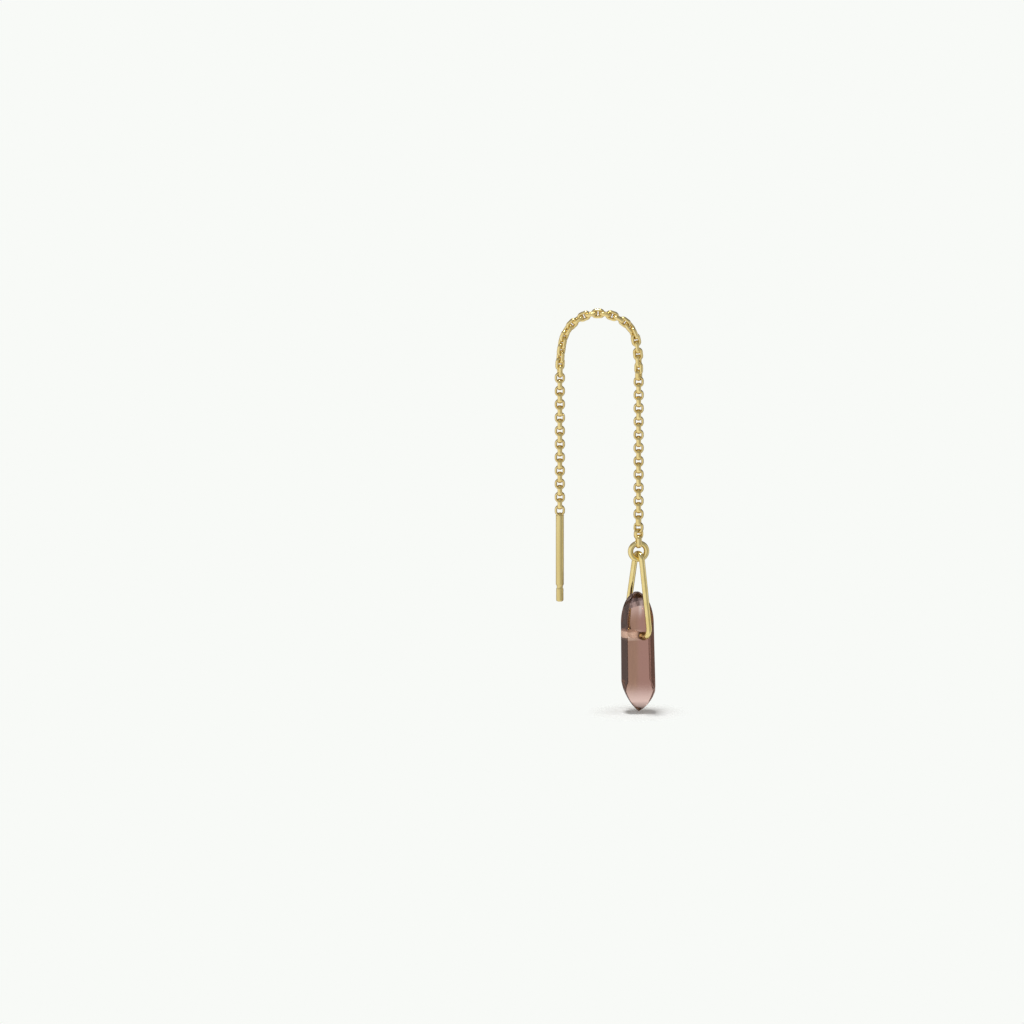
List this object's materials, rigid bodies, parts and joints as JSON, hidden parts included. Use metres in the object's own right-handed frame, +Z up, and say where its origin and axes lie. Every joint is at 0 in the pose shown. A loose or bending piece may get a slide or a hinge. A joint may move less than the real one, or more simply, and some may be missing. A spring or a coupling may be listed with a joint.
{
  "type": "threader earring",
  "caption": "Threader earring: a fine trace chain over the ear, with a grooved thread bar on its back end and a jump ring, triangular wire frame and double-pointed crystal hanging in front.",
  "frame": {"origin": "the middle of the chain's top link, where the chain lies in the pierced ear and the earring hangs", "axes": "+Z is up, +X points from the back strand with the thread bar to the front strand with the crystal, and -Y is the viewer's side"},
  "size_m": [0.0125, 0.006, 0.0511],
  "materials": {
    "chain_gold": "polished gold plate on fine round wire",
    "satin_gold": "satin gold plate",
    "polished_gold": "polished gold plate",
    "smoky_crystal": "cut and polished, translucent rosy brown, darker towards its upper tip"
  },
  "bodies": {
    "hanger": {"chain": "chain_gold", "thread_bar": "satin_gold", "jump_ring": "polished_gold"},
    "bail": {"wire_frame": "polished_gold"},
    "drop": {"crystal": "smoky_crystal"}
  },
  "joints": [
    {"name": "pendant_swing", "type": "hinge", "parent": "hanger", "child": "bail", "pos_m": [0.00508, 0, -0.03118], "axis": [0.9781, 0.2079, 0], "range_deg": [-90, 90]},
    {"name": "crystal_swing", "type": "hinge", "parent": "bail", "child": "drop", "pos_m": [0.00508, 0, -0.04072], "axis": [0.4695, -0.8829, 0], "range_deg": [-150, 150]}
  ]
}
